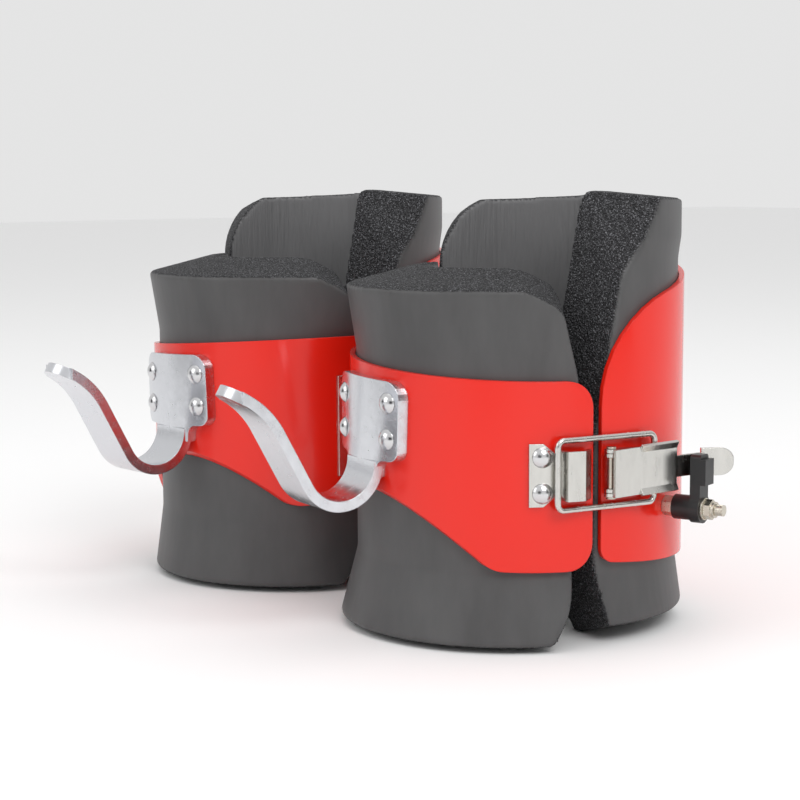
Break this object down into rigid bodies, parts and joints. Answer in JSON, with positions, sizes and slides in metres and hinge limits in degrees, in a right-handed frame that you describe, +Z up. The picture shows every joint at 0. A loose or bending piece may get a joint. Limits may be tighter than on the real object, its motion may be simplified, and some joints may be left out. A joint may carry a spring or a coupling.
{
  "type": "gravity inversion boots",
  "caption": "Pair of gravity inversion boots: hinged painted half-shells with thick foam linings, steel bar hooks, over-centre bail latches and swing-aside safety catches.",
  "frame": {"origin": "centre of the pair's bounding box in plan, on the floor the boots stand on", "axes": "+X from boot B to boot A (the boot whose latch faces +X), -Y toward the hooks, +Z up"},
  "size_m": [0.4013, 0.2465, 0.1988],
  "materials": {
    "shell_paint": "gloss",
    "foam": "matte",
    "hook_steel": "satin",
    "plated_steel": "satin",
    "rivet_steel": "gloss",
    "zinc_steel": "satin",
    "black_plastic": "satin"
  },
  "bodies": {
    "a_front": {"a_front_shell": "shell_paint", "a_front_foam": "foam", "a_hook": "hook_steel", "a_hook_rivets": "rivet_steel", "a_keeper": "plated_steel", "a_keeper_rivets": "rivet_steel", "a_hinge_leaf_front": "plated_steel", "a_hinge_rivets_front": "rivet_steel", "a_hinge_pin": "zinc_steel"},
    "a_rear": {"a_rear_shell": "shell_paint", "a_rear_foam": "foam", "a_hinge_leaf_rear": "plated_steel", "a_hinge_rivets_rear": "rivet_steel", "a_latch_base": "plated_steel", "a_latch_base_rivets": "rivet_steel", "a_latch_pivot_pin": "zinc_steel", "a_safety_bolt": "zinc_steel", "a_safety_base_nut": "zinc_steel", "a_safety_spacer": "black_plastic", "a_safety_washer": "zinc_steel", "a_safety_locknut": "zinc_steel"},
    "a_lever": {"a_latch_lever": "plated_steel"},
    "a_bail_loop": {"a_bail": "plated_steel"},
    "a_catch": {"a_safety_arm": "black_plastic"},
    "b_front": {"b_front_shell": "shell_paint", "b_front_foam": "foam", "b_hook": "hook_steel", "b_hook_rivets": "rivet_steel", "b_keeper": "plated_steel", "b_keeper_rivets": "rivet_steel", "b_hinge_leaf_front": "plated_steel", "b_hinge_rivets_front": "rivet_steel", "b_hinge_pin": "zinc_steel"},
    "b_rear": {"b_rear_shell": "shell_paint", "b_rear_foam": "foam", "b_hinge_leaf_rear": "plated_steel", "b_hinge_rivets_rear": "rivet_steel", "b_latch_base": "plated_steel", "b_latch_base_rivets": "rivet_steel", "b_latch_pivot_pin": "zinc_steel", "b_safety_bolt": "zinc_steel", "b_safety_base_nut": "zinc_steel", "b_safety_spacer": "black_plastic", "b_safety_washer": "zinc_steel", "b_safety_locknut": "zinc_steel"},
    "b_lever": {"b_latch_lever": "plated_steel"},
    "b_bail_loop": {"b_bail": "plated_steel"},
    "b_catch": {"b_safety_arm": "black_plastic"}
  },
  "joints": [
    {"name": "a_rear_hinge", "type": "hinge", "parent": "a_front", "child": "a_rear", "pos_m": [0.02884, 0.04904, 0.083], "axis": [0, 0, 1], "range_deg": [0, 0.35]},
    {"name": "a_lever_pivot", "type": "hinge", "parent": "a_rear", "child": "a_lever", "pos_m": [0.18242, 0.03748, 0.0777], "axis": [0, 0, -1], "range_deg": [0, 0.8]},
    {"name": "a_bail_pivot", "type": "hinge", "parent": "a_lever", "child": "a_bail_loop", "pos_m": [0.18147, 0.06306, 0.0777], "axis": [0, 0, -1], "range_deg": [-0.52, 0]},
    {"name": "a_catch_turn", "type": "hinge", "parent": "a_rear", "child": "a_catch", "pos_m": [0.17302, 0.07781, 0.058], "axis": [0.9307, 0.3657, 0], "range_deg": [0, 110]},
    {"name": "b_lift", "type": "slide", "parent": "a_front", "child": "b_front", "axis": [0, 0, 1], "range_m": [0, 0.22]},
    {"name": "b_rear_hinge", "type": "hinge", "parent": "b_front", "child": "b_rear", "pos_m": [0.0185, 0.03184, 0.083], "axis": [0, 0, -1], "range_deg": [0, 30]},
    {"name": "b_lever_pivot", "type": "hinge", "parent": "b_rear", "child": "b_lever", "pos_m": [-0.13508, 0.02028, 0.0777], "axis": [0, 0, 1], "range_deg": [-75, 15]},
    {"name": "b_bail_pivot", "type": "hinge", "parent": "b_lever", "child": "b_bail_loop", "pos_m": [-0.15954, 0.02782, 0.0777], "axis": [0, 0, 1], "range_deg": [-10, 49]},
    {"name": "b_catch_turn", "type": "hinge", "parent": "b_rear", "child": "b_catch", "pos_m": [-0.12568, 0.06061, 0.058], "axis": [0.9307, -0.3657, 0], "range_deg": [-90, 20]}
  ],
  "couplings": [
    {"joint": "a_bail_pivot", "follows": "a_lever_pivot", "ratio": -0.65},
    {"joint": "b_bail_pivot", "follows": "b_lever_pivot", "ratio": -0.65}
  ]
}
